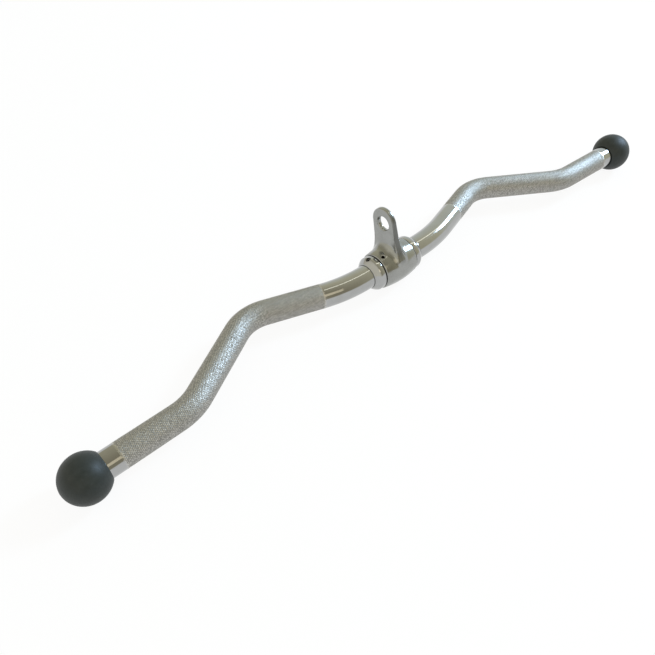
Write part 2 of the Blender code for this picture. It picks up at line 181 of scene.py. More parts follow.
class FittingSizes(bpy.types.PropertyGroup):
    """Sizes of the balls, collars, washers and set screws"""

    mouth_lip: length("Mouth Lip", "Radius of the rolled lip at a ball's mouth", 0.6)
    seam_height: length("Seam Height", "Height of a ball's moulding seam", 0.06)
    gap: length("Gap", "Gap between pieces that fit", 0.3)
    fine_gap: length("Fine Gap", "Gap that shows round the bar and beside a washer", 0.05)
    collar_wall: length("Collar Wall", "Wall of a collar", 5.4)
    collar_shoulder: length("Collar Shoulder", "Length of a collar's shoulder", 6.5)
    collar_foot_wall: length("Collar Foot Wall", "Wall left at the shoulder's foot", 0.7)
    collar_edge: length("Collar Edge", "Rounding of a collar's rims", 0.5)
    screw_radius: length("Screw Radius", "Radius of a set screw", 2.5)
    screw_socket: length("Screw Socket", "Width of the hexagon socket across its flats", 2.5)
    screw_socket_depth: length("Socket Depth", "Depth of the hexagon socket", 1.8)
    screw_recess: length("Screw Recess", "How far a screw lies below the collar", 0.15)
    screw_chamfer: length("Screw Chamfer", "Chamfer on a screw's ends", 0.4)
    washer_edge: length("Washer Edge", "Rounding of a washer's rims", 0.2)
    sides: IntProperty(name="Sides", description="Facets round a turned piece", default=144, min=12)


class Finishes(bpy.types.PropertyGroup):
    """Colours and roughness of the finishes"""

    chrome: colour("Chrome", "The plated bar and collars", (0.39, 0.395, 0.39))
    chrome_haze: colour("Chrome Haze", "The plate where it is hazed", (0.34, 0.34, 0.33))
    chrome_roughness: share("Chrome Roughness", "Roughness of the plate", 0.06)
    knurl_roughness: share("Knurl Roughness", "Roughness of the plate on the knurl", 0.50)
    knurl: colour("Knurl", "The plate on the diamonds", (0.61, 0.60, 0.56))
    casting: colour("Casting", "The plated casting", (0.32, 0.325, 0.31))
    casting_roughness: share("Casting Roughness", "Roughness of the plated casting", 0.15)
    rubber: colour("Rubber", "The balls", (0.013, 0.019, 0.018))
    rubber_bloom: colour("Rubber Bloom", "The balls where they are dusty", (0.028, 0.034, 0.033))
    rubber_roughness: share("Rubber Roughness", "Roughness of the balls", 0.48)
    bronze: colour("Bronze", "The bushes", (0.45, 0.28, 0.12))
    nylon: colour("Nylon", "The thrust washers", (0.02, 0.02, 0.02))
    black_steel: colour("Black Steel", "The set screws", (0.20, 0.20, 0.21))


class StudioSettings(bpy.types.PropertyGroup):
    """Floor, lights and camera"""

    floor_size: length("Floor Size", "Width of the floor", 12000.0)
    floor_colour: colour("Floor", "The floor", (0.95, 0.95, 0.95))
    backdrop: colour("Backdrop", "Colour that the camera sees of the floor", (1.0, 1.0, 1.0))
    room_dim: colour("Room Dim", "The room on its darker side", (0.41, 0.375, 0.27))
    room_warm: colour("Room Warm", "The room's paler walls", (0.80, 0.77, 0.58))
    room_light: colour("Room Light", "The room on the window's side", (0.92, 1.0, 1.0))
    room_horizon: colour("Room Horizon", "The room along the horizon", (0.97, 0.97, 0.96))
    room_wall: colour("Room Wall", "The wall opposite the window", (0.99, 0.95, 0.82))
    room_strength: share("Room Strength", "Brightness of the room", 1.0)
    window_power: power("Window", "Power of the window light", 298.0)
    warm_power: power("Warm Light", "Power of the warm light", 1.1)
    strip_power: power("Strip Light", "Power of the strip overhead", 0.9)
    focal_length: FloatProperty(name="Focal Length", description="Lens in millimetres", default=36.07,
                                subtype="DISTANCE_CAMERA")


class TricepsBarSettings(bpy.types.PropertyGroup):
    """Everything that a user can change"""

    bar: PointerProperty(type=BarSizes)
    hanger: PointerProperty(type=HangerSizes)
    fittings: PointerProperty(type=FittingSizes)
    finishes: PointerProperty(type=Finishes)
    studio: PointerProperty(type=StudioSettings)


class Signal:
    """A shader socket; arithmetic on it adds Math nodes."""

    def __init__(self, tree, socket):
        self.tree = tree
        self.socket = socket

    def math(self, operation, *values):
        inputs = dict(enumerate(values))
        return self.tree.add("Math", inputs, operation=operation)

    def __add__(self, other):
        return self.math("ADD", self, other)

    def __sub__(self, other):
        return self.math("SUBTRACT", self, other)

    def __rsub__(self, other):
        return self.math("SUBTRACT", other, self)

    def __mul__(self, other):
        return self.math("MULTIPLY", self, other)

    def clamped(self):
        """The same number, held between 0 and 1."""
        return self.tree.add("Clamp", {"Value": self})

    def between(self, low, high):
        """0 at low, 1 at high, held between them."""
        return self.tree.add("MapRange", {"Value": self, "From Min": low, "From Max": high})


class Shader:
    """A node tree, emptied, with one method that adds any node."""

    def __init__(self, tree):
        self.tree = tree
        tree.nodes.clear()

    def add(self, kind, inputs, output=0, **settings):
        """Add a shader node, set it and its sockets, and return one of its outputs, if any."""
        node = self.tree.nodes.new("ShaderNode" + kind)
        for name, value in settings.items():
            setattr(node, name, value)
        for name, value in inputs.items():
            socket = find_socket(node.inputs, name)
            if isinstance(value, Signal):
                self.tree.links.new(value.socket, socket)
            elif socket.type == "RGBA":
                socket.default_value = (*value, 1.0)
            else:
                socket.default_value = value
        if not node.outputs:
            return None
        return Signal(self, find_socket(node.outputs, output))

    def mixed(self, factor, first, second):
        """A colour between two colours."""
        return self.add("Mix", {"Factor_Float": factor, "A_Color": first, "B_Color": second},
                        "Result_Color", data_type="RGBA")

    def noise(self, size, detail=2.0, roughness=0.5, stretch=(1, 1, 1)):
        """Noise whose blobs are about the given size in metres."""
        place = self.add("TexCoord", {}, "Object")
        scaled = self.add("VectorMath", {0: place, 1: stretch}, operation="MULTIPLY")
        return self.add("TexNoise",
                        {"Vector": scaled, "Scale": 1 / size, "Detail": detail, "Roughness": roughness})

    def haze(self, size, low=0.4):
        """Soft patches where the plate is hazed, 0 where it is clear."""
        return self.noise(size, 4.0, 0.6).between(low, 0.75)

    def attribute(self, name):
        """A number stored on the mesh's points."""
        return self.add("Attribute", {}, "Fac", attribute_name=name)

    def bump(self, height, distance, normal=None):
        """A normal tilted by a height field, whose full step is distance metres."""
        inputs = {"Height": height, "Distance": distance, "Strength": 1.0}
        if normal is not None:
            inputs["Normal"] = normal
        return self.add("Bump", inputs)


def find_socket(sockets, key):
    """A socket by its place, identifier or name."""
    if isinstance(key, int):
        return sockets[key]
    for socket in sockets:
        if socket.identifier == key:
            return socket
    return sockets[key]


def scaled(rgb, factor):
    """A colour made darker or paler by a factor."""
    return [part * factor for part in rgb]


def new_material(finish, finishes):
    """A material named after its finish, which gives the Principled shader's sockets."""
    material = bpy.data.materials.new(finish.__name__)
    material.use_nodes = True
    shader = Shader(material.node_tree)
    surface = shader.add("BsdfPrincipled", finish(shader, finishes))
    shader.add("OutputMaterial", {"Surface": surface})
    return material


def knurled_chrome(shader, finishes):
    """Bright plate on the bar, dull in the knurl's grooves, which are darkened with painted shade."""
    knurled = shader.attribute("knurled")
    crown = shader.attribute("crown")
    haze = shader.haze(14 * MM, 0.45)
    streaks = shader.noise(1.2 * MM, 3.0, 0.5, stretch=(0.08, 1, 1)).between(0.3, 0.8)
    plate = shader.mixed(haze * 0.5, finishes.chrome, finishes.chrome_haze)
    # painted shade: the knurl's grooves are darkened where shade falls between the diamonds
    painted_groove_shade = knurled * (1 - crown)
    mottle = shader.noise(1.5 * MM).between(0.39, 0.61)
    mottled = shader.mixed(mottle, scaled(finishes.knurl, 0.73), scaled(finishes.knurl, 1.24))
    diamonds = shader.mixed(knurled, plate, mottled)
    # painted shade: the grooves turn toward a dark copy of the hazed plate
    base = shader.mixed(painted_groove_shade * 0.85, diamonds, scaled(finishes.chrome_haze, 0.45))
    smooth = haze * 0.06 + streaks * 0.03 + finishes.chrome_roughness
    dullness = (1 - mottle) * 0.12 + (finishes.knurl_roughness - finishes.chrome_roughness - 0.06)
    ripple = shader.noise(9 * MM, 1.0)
    scratches = shader.noise(0.5 * MM, stretch=(0.05, 1, 1))
    waved = shader.bump(ripple, 0.05 * MM)
    return {"Base Color": base, "Metallic": 1.0, "Roughness": smooth + knurled * dullness,
            "Normal": shader.bump(scratches, 0.002 * MM, waved)}


def turned_chrome(shader, finishes):
    """Bright plate on turned pieces."""
    haze = shader.haze(8 * MM)
    base = shader.mixed(haze * 0.6, finishes.chrome, finishes.chrome_haze)
    ripple = shader.noise(5 * MM, 1.0)
    return {"Base Color": base, "Metallic": 1.0, "Roughness": haze * 0.08 + finishes.chrome_roughness,
            "Normal": shader.bump(ripple, 0.04 * MM)}


def cast_chrome(shader, finishes):
    """Plate over a casting: slightly wavy, hazed and finely pitted; the lug's edges are rougher and carry a
    painted dark reflection.
    """
    haze = shader.haze(11 * MM)
    # the lug's edges: rougher, and darkened with a painted dark reflection
    edge = shader.attribute("rough_edge_painted_reflection")
    plate = shader.mixed(haze * 0.7, finishes.casting, scaled(finishes.casting, 0.8))
    # painted reflection: a darker copy of the casting on the lug's edges
    base = shader.mixed(edge, plate, scaled(finishes.casting, 0.5))
    wave = shader.noise(6 * MM)
    pits = shader.noise(0.7 * MM).between(0.25, 0.45)
    waved = shader.bump(wave, 0.12 * MM)
    return {"Base Color": base, "Metallic": 1.0,
            "Roughness": haze * 0.1 + edge * 0.2 + finishes.casting_roughness,
            "Normal": shader.bump(pits, 0.01 * MM, waved)}


def moulded_rubber(shader, finishes):
    """Satin black rubber with a fine grain and a little dust."""
    dust = shader.noise(7 * MM, 5.0, 0.65).between(0.4, 0.8)
    grain = shader.noise(0.45 * MM, 3.0, 0.6)
    return {"Base Color": shader.mixed(dust, finishes.rubber, finishes.rubber_bloom),
            "Roughness": dust * 0.12 + finishes.rubber_roughness, "Specular IOR Level": 0.38,
            "Normal": shader.bump(grain, 0.05 * MM)}


def porous_bronze(shader, finishes):
    """Sintered bronze with pores and oil stains."""
    stain = shader.noise(4 * MM, 3.0).between(0.35, 0.7)
    pores = shader.noise(0.3 * MM).between(0.3, 0.5)
    return {"Base Color": shader.mixed(stain, finishes.bronze, scaled(finishes.bronze, 0.6)),
            "Metallic": 1.0, "Roughness": stain * 0.15 + 0.35, "Normal": shader.bump(pores, 0.02 * MM)}


def washer_nylon(shader, finishes):
    """Black nylon with fine turning marks."""
    wear = shader.noise(1.5 * MM, 3.0).between(0.4, 0.8)
    return {"Base Color": shader.mixed(wear * 0.6, finishes.nylon, scaled(finishes.nylon, 2.5)),
            "Roughness": wear * 0.15 + 0.42, "Normal": shader.bump(wear, 0.01 * MM)}


def oxide_steel(shader, finishes):
    """Black oxide on a machined screw."""
    wear = shader.noise(0.8 * MM, 3.0).between(0.5, 0.8)
    bare = scaled(finishes.black_steel, 3.5)
    return {"Base Color": shader.mixed(wear * 0.5, finishes.black_steel, bare),
            "Metallic": 1.0, "Roughness": 0.42 - wear * 0.12, "Normal": shader.bump(wear, 0.01 * MM)}


def new_object(name, data):
    """An object, linked to the scene."""
    obj = bpy.data.objects.new(name, data)
    bpy.context.scene.collection.objects.link(obj)
    return obj


def new_piece(mesh, material, slot, body, *nodes):
    """A finished piece, named after its mesh, that stands for solids and rides on a body."""
    piece = new_object(mesh.name, mesh)
    mesh.materials.clear()
    mesh.materials.append(material)
    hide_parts(*nodes)
    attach(piece, body)


def new_pair(settings, finish, slot, node, build):
    """A left and a right piece on the bar, in one material."""
    material = new_material(finish, settings.finishes)
    for side in SIDES:
        new_piece(build(side, settings), material, slot, "bar", node + "_" + side)


def closed_mesh(bm, name):
    """A mesh from bmesh with its doubles merged and its faces pointing out."""
    bmesh.ops.remove_doubles(bm, verts=bm.verts, dist=WELD)
    bmesh.ops.recalc_face_normals(bm, faces=bm.faces)
    mesh = bpy.data.meshes.new(name)
    bm.to_mesh(mesh)
    bm.free()
    mesh.shade_smooth()
    mesh.set_sharp_from_angle(angle=SHARP_EDGE)
    return mesh


def arc(centre, radius, start, end, steps):
    """Points on a circular arc, both ends included."""
    points = []
    for i in range(steps + 1):
        angle = start + (end - start) * i / steps
        points.append((centre[0] + radius * math.cos(angle), centre[1] + radius * math.sin(angle)))
    return points


def turn_profile(profile, angles, looped):
    """A bmesh of (radius, along) points turned about the X axis, at the given angles."""
    bm = bmesh.new()
    rings = []
    for angle in angles:
        ring = []
        for radius, along in profile:
            ring.append(bm.verts.new((along, radius * math.cos(angle), radius * math.sin(angle))))
        rings.append(ring)
    count = len(profile) if looped else len(profile) - 1
    for i, ring in enumerate(rings):
        following = rings[(i + 1) % len(rings)]
        for j in range(count):
            k = (j + 1) % len(profile)
            bm.faces.new((ring[j], ring[k], following[k], following[j]))
    return bm


def even_angles(count):
    return [2 * math.pi * i / count for i in range(count)]


def turned_ring(name, profile, side, facets):
    """A ring turned round the swivel axis, on the left or the right of the middle."""
    bm = turn_profile(profile, even_angles(facets), True)
    for vertex in bm.verts:
        vertex.co.x *= SIDES[side]
    mesh = closed_mesh(bm, name)
    mesh.transform(Matrix.Translation(SWIVEL))
    return mesh


def modified(obj):
    """What an object's modifiers make of its mesh; both are used up."""
    graph = bpy.context.evaluated_depsgraph_get()
    mesh = bpy.data.meshes.new_from_object(obj.evaluated_get(graph))
    old = obj.data
    name = old.name
    bpy.data.objects.remove(obj)
    bpy.data.meshes.remove(old)
    mesh.name = name
    return mesh


def drill(radius, depth, sides, place):
    """A cutting tool: a cylinder or prism along its own Z, centred on its place."""
    bm = bmesh.new()
    bmesh.ops.create_cone(bm, cap_ends=True, segments=sides, radius1=radius, radius2=radius,
                          depth=depth, matrix=place)
    return closed_mesh(bm, "drill")


def cut(mesh, tool_mesh, sharp_angle):
    """A mesh with another cut out of it; both are used up."""
    blank = new_object("blank", mesh)
    tool = new_object("tool", tool_mesh)
    modifier = blank.modifiers.new("Cut", "BOOLEAN")
    modifier.operation = "DIFFERENCE"
    modifier.solver = "EXACT"
    modifier.object = tool
    result = modified(blank)
    bpy.data.objects.remove(tool)
    bpy.data.meshes.remove(tool_mesh)
    result.shade_smooth()
    result.set_sharp_from_angle(angle=sharp_angle)
    return result


def bar_stretches(bar):
    """Straights and bends of the bar's right half: (length, turn) pairs from the middle out."""
    crest = Vector((bar.crest_x, bar.crest_rise))
    valley = Vector((bar.valley_x, -bar.valley_drop))
    end = Vector((bar.end_x, -bar.end_drop))
    bend_centre = Vector((bar.straight_half, bar.hanger_bend))
    to_crest = crest - bend_centre
    rise = math.atan2(to_crest.y, to_crest.x) + math.asin(bar.hanger_bend / to_crest.length)
    bend_end = bend_centre - aside(rise) * bar.hanger_bend
    fall = heading_of(valley - crest)
    last = heading_of(end - valley)
    crest_reach = bar.crest_bend * math.tan(abs(fall - rise) / 2)
    valley_reach = bar.valley_bend * math.tan(abs(last - fall) / 2)
    return [
        (bar.straight_half, 0.0),
        (bar.hanger_bend * rise, rise),
        ((crest - bend_end).length - crest_reach, 0.0),
        (bar.crest_bend * abs(fall - rise), fall - rise),
        ((valley - crest).length - crest_reach - valley_reach, 0.0),
        (bar.valley_bend * abs(last - fall), last - fall),
        ((end - valley).length - valley_reach + bar.past_ball, 0.0),
    ]


def heading_of(vector):
    return math.atan2(vector.y, vector.x)


def aside(heading):
    """The direction to the left of a heading."""
    return Vector((-math.sin(heading), math.cos(heading)))


def bar_place(stretches, distance):
    """Centre and heading of the bar at a distance along it from its middle, negative to the left."""
    side = math.copysign(1, distance)
    left = abs(distance)
    point = Vector((0, 0))
    heading = 0.0
    for span, turn in stretches:
        part = min(left, span) / span
        if turn:
            radius = span / turn
            centre = point + aside(heading) * radius
            heading += turn * part
            point = centre - aside(heading) * radius
        else:
            point = point + Vector((math.cos(heading), math.sin(heading))) * span * part
        left -= span
        if left <= 0:
            break
    return Vector((side * point.x, point.y, 0)), side * heading


def bar_rings(bar, bar_length):
    """Distances along the bar of the mesh's rings, each with its knurl depth share."""
    rings = []
    knurl_end = bar_length - bar.past_ball - bar.knurl_to_ball
    for side, start in ((-1, bar.knurl_start_left), (1, bar.knurl_start_right)):
        steps = round(start / bar.ring_step)
        half = [(start * i / steps, 0.0) for i in range(steps)]
        count = 2 * round((knurl_end - start) / bar.knurl_length)
        for i in range(count + 1):
            fade = min(1.0, min(i, count - i) / 2)
            half.append((start + (knurl_end - start) * i / count, fade))
        steps = round((bar_length - knurl_end) / bar.ring_step)
        for i in range(1, steps + 1):
            half.append((knurl_end + (bar_length - knurl_end) * i / steps, 0.0))
        if side < 0:
            rings += [(-distance, fade) for distance, fade in reversed(half[1:])]
        else:
            rings += half
    return rings


def build_bar_mesh(bar):
    """The bar swept along its centreline; on the grips its facets rise to diamond points."""
    stretches = bar_stretches(bar)
    rings = bar_rings(bar, sum(span for span, turn in stretches))
    around = 2 * round(math.pi * bar.diameter / bar.knurl_pitch)
    wear = np.random.default_rng(7).uniform(0.4, 1.0, (len(rings), around))
    fade = np.array([[fade] for distance, fade in rings])
    high = (np.arange(around) + np.arange(len(rings))[:, None]) % 2
    radii = bar.diameter / 2 + (high - 1) * bar.knurl_depth * wear * fade
    angles = np.arange(around) * 2 * math.pi / around
    centres = np.zeros((len(rings), 1, 3))
    radial = np.zeros((len(rings), around, 3))
    for i, (distance, _) in enumerate(rings):
        centre, heading = bar_place(stretches, distance)
        centres[i] = np.array(centre)
        radial[i, :, 0] = -math.sin(heading) * np.cos(angles)
        radial[i, :, 1] = math.cos(heading) * np.cos(angles)
        radial[i, :, 2] = np.sin(angles)
    points = centres + radial * radii[:, :, None] + np.array(SWIVEL)

    faces = bar_faces(rings, around)
    mesh = bpy.data.meshes.new("bar_surface")
    mesh.from_pydata(points.reshape(-1, 3), [], faces)
    mesh.polygons.foreach_set("use_smooth", [len(face) == 4 for face in faces])
    for name, values in (("crown", 1 - (1 - high) * fade), ("knurled", fade * np.ones(around))):
        attribute = mesh.attributes.new(name, "FLOAT", "POINT")
        attribute.data.foreach_set("value", values.reshape(-1))
    mesh.update()
    peaks = (high == 1) & (fade > 0)
    round_off_peaks(mesh, peaks.reshape(-1), radial.reshape(-1, 3))
    return mesh


def bar_faces(rings, around):
    """Smooth bar has faces of four corners, the knurl has flat triangles, and each end has a cap."""
    faces = []
    for i in range(len(rings) - 1):
        in_knurl = max(rings[i][1], rings[i + 1][1]) > 0
        for j in range(around):
            a = i * around + j
            b = i * around + (j + 1) % around
            c = b + around
            d = a + around
            if not in_knurl:
                faces.append((a, b, c, d))
            elif (i + j) % 2 == 0:
                faces += [(a, b, c), (a, c, d)]
            else:
                faces += [(a, b, d), (b, c, d)]
    last = (len(rings) - 1) * around
    return faces + [tuple(reversed(range(around))), tuple(range(last, last + around))]


def round_off_peaks(mesh, peaks, radial):
    """Normals that round off each diamond's point and leave the grooves between them sharp."""
    corner_point = np.zeros(len(mesh.loops), dtype=np.int32)
    mesh.loops.foreach_get("vertex_index", corner_point)
    sizes = np.zeros(len(mesh.polygons), dtype=np.int32)
    mesh.polygons.foreach_get("loop_total", sizes)
    corner_face = np.repeat(np.arange(len(sizes)), sizes)
    face_normals = np.zeros(len(sizes) * 3)
    mesh.polygons.foreach_get("normal", face_normals)
    flat = face_normals.reshape(-1, 3)[corner_face]
    on_smooth_bar = sizes == 4
    keep_flat = ~on_smooth_bar[corner_face] & ~peaks[corner_point]
    mesh.normals_split_custom_set(np.where(keep_flat[:, None], flat, radial[corner_point]).tolist())


def rounded_overlap(first, second, radius):
    """Distance field of the overlap of two solids, its edge rounded to a radius."""
    a = first + radius
    b = second + radius
    outside = np.hypot(np.maximum(a, 0), np.maximum(b, 0))
    return outside + np.minimum(np.maximum(a, b), 0) - radius


def soft_union(first, second, width):
    """Distance field of two solids joined, with the crease between them filled over a width."""
    mix = np.clip(0.5 + 0.5 * (second - first) / width, 0, 1)
    return second * (1 - mix) + first * mix - width * mix * (1 - mix)


def wander(points):
    """A slow wave between -1 and 1 over the casting's surface."""
    x, y, z = points.T / MM
    first = np.sin(0.31 * x + 0.9) * np.sin(0.27 * y + 0.4) * np.cos(0.23 * z)
    second = np.sin(0.55 * x + 0.21 * z) * np.cos(0.49 * y - 0.33 * z + 1.1)
    return 0.6 * first + 0.4 * second


def hanger_field(points, hanger):
    """Distance field of the casting in its own frame: barrel along X, lug up Z."""
    x, y, z = points.T
    radial = np.hypot(y, z)
    barrel_side = radial - hanger.barrel_radius + hanger.barrel_swell * (2 * x / hanger.barrel_length) ** 2
    barrel = rounded_overlap(barrel_side, np.abs(x) - hanger.barrel_length / 2, hanger.barrel_edge)

    root = hanger.barrel_radius
    tip_centre = hanger.tip_height - hanger.tip_radius
    taper_top = hanger.eye_height - hanger.tip_radius
    side = hanger.side_fillet
    fillet_y = hanger.root_width / 2 + side
    fillet_z = math.sqrt((root + side) ** 2 - fillet_y ** 2)
    down = np.clip((tip_centre - z) / (tip_centre - fillet_z), 0, 1)
    half_width = hanger.tip_radius + (hanger.root_width / 2 - hanger.tip_radius) * down
    straight = np.abs(y) - half_width
    flare = side - np.hypot(np.minimum(np.abs(y) - fillet_y, 0), z - fillet_z)
    outline = np.where(z > fillet_z, straight, np.minimum(straight, flare))
    outline = np.where(z > tip_centre, np.hypot(y, z - tip_centre) - hanger.tip_radius, outline)
    outline = rounded_overlap(outline, root * fillet_z / (root + side) - z, hanger.root_round)

    foot = hanger.foot_flare * np.exp(-np.maximum(radial - root, 0) / hanger.foot_height)
    outline = outline - foot
    down = np.clip((taper_top - z) / (taper_top - root), 0, 1)
    plate = (hanger.thickness + (hanger.root_thickness - hanger.thickness) * down) / 2 + foot
    lug = rounded_overlap(outline, np.abs(x) - plate, hanger.edge_round)
    parting = np.exp(-((x - hanger.parting_offset) / hanger.parting_width) ** 2)
    lug = lug - hanger.parting_ridge * parting * np.clip(1 + outline / hanger.parting_reach, 0, 1)

    inward = np.clip(-outline / hanger.face_blend, 0, 1)
    blend = hanger.edge_blend + (hanger.face_blend - hanger.edge_blend) * inward
    solid = soft_union(barrel, lug, blend)
    solid = solid + hanger.unevenness * wander(points)
    eye = hanger.eye_radius - np.hypot(y, z - hanger.eye_height)
    solid = rounded_overlap(solid, eye, hanger.eye_rim)
    solid = rounded_overlap(solid, hanger.bore_radius - radial, hanger.bore_edge)
    turned_y = y * math.cos(hanger.oil_hole_angle) - z * math.sin(hanger.oil_hole_angle)
    out = z * math.cos(hanger.oil_hole_angle) + y * math.sin(hanger.oil_hole_angle)
    from_hole = np.hypot(x + hanger.barrel_length / 2 - hanger.oil_hole_from_end, turned_y)
    oil_hole = np.where(out > 0, hanger.oil_hole_radius - from_hole, -1.0)
    return rounded_overlap(solid, oil_hole, hanger.oil_hole_rim)


def rough_edge_painted_reflection(points, hanger):
    """1 on the lug's edges, which are rougher and carry a painted dark reflection, 0 on its faces, its foot
    and the middle of its tip.
    """
    foot_fade = 3.0 * MM
    outline_fade = 1.2 * MM
    face_fade = 1.0 * MM
    tip_half = 7.0 * MM
    tip_fade = 6.0 * MM
    x, y, z = points.T
    tip_centre = hanger.tip_height - hanger.tip_radius
    across = np.where(z > tip_centre, np.hypot(y, z - tip_centre), np.abs(y))
    above_foot = (np.hypot(y, z) - hanger.barrel_radius) / foot_fade
    near_outline = 1 - (hanger.tip_radius - across) / outline_fade
    between_faces = (hanger.root_thickness / 2 - np.abs(x)) / face_fade
    beside_tip = (np.abs(y) - tip_half) / tip_fade
    parts = (above_foot, near_outline, between_faces, beside_tip)
    return np.prod([np.clip(part, 0, 1) for part in parts], axis=0)


def pull_to_field(points, field, rounds=6):
    """Move points onto the zero surface of a distance field, a short way in each round."""
    step = 0.02 * MM
    longest_move = 0.4 * MM
    least_slope_squared = 0.25
    for _ in range(rounds):
        value = field(points)
        slope = np.zeros_like(points)
        for axis in range(3):
            shift = np.zeros(3)
            shift[axis] = step
            slope[:, axis] = (field(points + shift) - field(points - shift)) / (2 * step)
        slope_squared = np.maximum((slope ** 2).sum(1), least_slope_squared)
        move = -value[:, None] * slope / slope_squared[:, None]
        reach = np.linalg.norm(move, axis=1, keepdims=True)
        points = points + move * np.minimum(1, longest_move / np.maximum(reach, 1e-12))
    return points


def build_hanger_mesh(hanger):
    """The casting: the solid's own shape in small facets, drawn onto the smooth design surface."""
    blank = new_object("blank", frame["nodes"]["swivel_hanger"].data.copy())
    remesh = blank.modifiers.new("Fine Facets", "REMESH")
    remesh.mode = "VOXEL"
    remesh.voxel_size = hanger.voxel
    mesh = modified(blank)
    mesh.name = "hanger_surface"

    points = np.zeros(len(mesh.vertices) * 3)
    mesh.vertices.foreach_get("co", points)
    turn = np.array(Matrix.Rotation(-hanger.lean, 3, "X"))
    local = (points.reshape(-1, 3) - np.array(SWIVEL)) @ turn
    local = pull_to_field(local, lambda where: hanger_field(where, hanger))
    points = local @ turn.T + np.array(SWIVEL)
    mesh.vertices.foreach_set("co", points.reshape(-1))
    # mask of the lug's rough edges and their painted dark reflection
    edge = mesh.attributes.new("rough_edge_painted_reflection", "FLOAT", "POINT")
    edge.data.foreach_set("value", rough_edge_painted_reflection(local, hanger))
    mesh.shade_smooth()
    mesh.update()
    return mesh


def ball_profile(bar, fittings):
    """A ball's (radius, along) profile: mouth lip, sphere, then the socket for the bar."""
    socket = bar.diameter / 2 + fittings.fine_gap
    radius = BALL_RADIUS - fittings.seam_height
    lip = fittings.mouth_lip
    lip_radius = socket + lip
    lip_along = math.sqrt((radius - lip) ** 2 - lip_radius ** 2)
    start = math.atan2(lip_along, lip_radius)
    sphere = arc((0, 0), radius, start, -math.pi / 2, 60)
    rolled = arc((lip_radius, lip_along), lip, math.pi, start, 8)
    floor = -(bar.past_ball + fittings.gap)
    sphere[-1] = (0.0, -radius)
    return [(0.0, floor), (socket, floor)] + rolled + sphere[1:]


def build_ball_mesh(side, settings):
    """A moulded ball on one end of the bar: a fine sphere with a faint seam in the bar's plane."""
    bar = settings.bar
    fittings = settings.fittings
    skin = 0.1 * MM
    around = even_angles(fittings.sides)
    for seam in (0.0, math.pi):
        for offset in SEAM_NEIGHBOURS:
            around.append((seam + math.radians(offset)) % (2 * math.pi))
    bm = turn_profile(ball_profile(bar, fittings), sorted(around), False)
    seam_half = math.sin(math.radians(SEAM_NEIGHBOURS[2] / 2)) * BALL_RADIUS
    for vertex in bm.verts:
        outer = vertex.co.length > BALL_RADIUS - fittings.seam_height - skin
        if outer and abs(vertex.co.z) < seam_half:
            vertex.co += vertex.co.normalized() * fittings.seam_height
    mesh = closed_mesh(bm, "ball_surface_" + side)
    stretches = bar_stretches(bar)
    distance = sum(span for span, turn in stretches) - bar.past_ball
    sign = SIDES[side]
    centre, heading = bar_place(stretches, sign * distance)
    inward = Vector((-sign * math.cos(heading), -sign * math.sin(heading), 0))
    turn = inward.to_track_quat("X", "Z").to_matrix().to_4x4()
    mesh.transform(Matrix.Translation(SWIVEL + centre) @ turn)
    return mesh


def shoulder_radius(bar, fittings, from_foot):
    """A collar's radius at a distance from its foot, the thin end of its shoulder."""
    seat = bar.diameter / 2 + fittings.gap
    still_to_rise = max(0.0, 1 - from_foot / fittings.collar_shoulder) ** SHOULDER_CURVE
    return seat + fittings.collar_wall - (fittings.collar_wall - fittings.collar_foot_wall) * still_to_rise


def collar_profile(bar, fittings):
    """A collar's (radius, along) profile, from its foot to its inner face and back along the bore."""
    bore = bar.diameter / 2 + fittings.fine_gap
    edge = fittings.collar_edge
    foot = COLLAR_HIGH.x
    inner = COLLAR_LOW.x + fittings.fine_gap - fittings.gap
    points = [(bore, foot - edge / 3), (bore + edge / 3, foot),
              (shoulder_radius(bar, fittings, 0) - edge / 2, foot)]
    steps = 20
    for i in range(steps + 1):
        from_foot = edge / 2 + (fittings.collar_shoulder - edge / 2) * i / steps
        points.append((shoulder_radius(bar, fittings, from_foot), foot - from_foot))
    outer = points[-1][0]
    points += arc((outer - edge, inner + edge), edge, 0, -math.pi / 2, 5)
    return points + [(bore + edge, inner), (bore, inner + edge)]


def screw_place(side, radius):
    """A place on a screw's axis, a radius out from the swivel axis, with Z pointing out."""
    along = SIDES[side] * (COLLAR_LOW.x + COLLAR_HIGH.x) / 2
    turn = Matrix.Rotation(-SCREW_ANGLES[side], 4, "X")
    return Matrix.Translation(SWIVEL + Vector((along, 0, 0))) @ turn @ Matrix.Translation((0, 0, radius))


def build_collar_mesh(side, settings):
    """A turned collar with its radial screw hole."""
    bar = settings.bar
    fittings = settings.fittings
    mesh = turned_ring("collar_surface_" + side, collar_profile(bar, fittings), side, fittings.sides)
    place = screw_place(side, bar.diameter / 2 + fittings.collar_wall)
    hole_radius = fittings.screw_radius + 2 * fittings.fine_gap
    return cut(mesh, drill(hole_radius, 2 * fittings.collar_wall, SCREW_SIDES, place), SHARP_EDGE)


def build_screw_mesh(side, settings):
    """A set screw with chamfered ends and a hexagon socket, made along X and then set in its hole."""
    bar = settings.bar
    fittings = settings.fittings
    from_foot = (COLLAR_HIGH.x - COLLAR_LOW.x) / 2 - fittings.screw_radius
    top = shoulder_radius(bar, fittings, from_foot) - fittings.screw_recess
    tip = bar.diameter / 2 + fittings.gap
    chamfer = fittings.screw_chamfer
    radius = fittings.screw_radius
    profile = [(0.0, top), (radius - chamfer, top), (radius, top - chamfer), (radius, tip + chamfer),
               (radius - chamfer, tip), (0.0, tip)]
    bm = turn_profile(profile, even_angles(SCREW_SIDES), False)
    mesh = closed_mesh(bm, "screw_surface_" + side)
    quarter_turn = Matrix.Rotation(math.pi / 2, 4, "Y")
    socket_place = Matrix.Translation((top, 0, 0)) @ quarter_turn
    socket = drill(fittings.screw_socket / math.sqrt(3), 2 * fittings.screw_socket_depth, 6, socket_place)
    mesh = cut(mesh, socket, FINE_SHARP_EDGE)
    mesh.transform(screw_place(side, 0) @ quarter_turn.inverted())
    return mesh


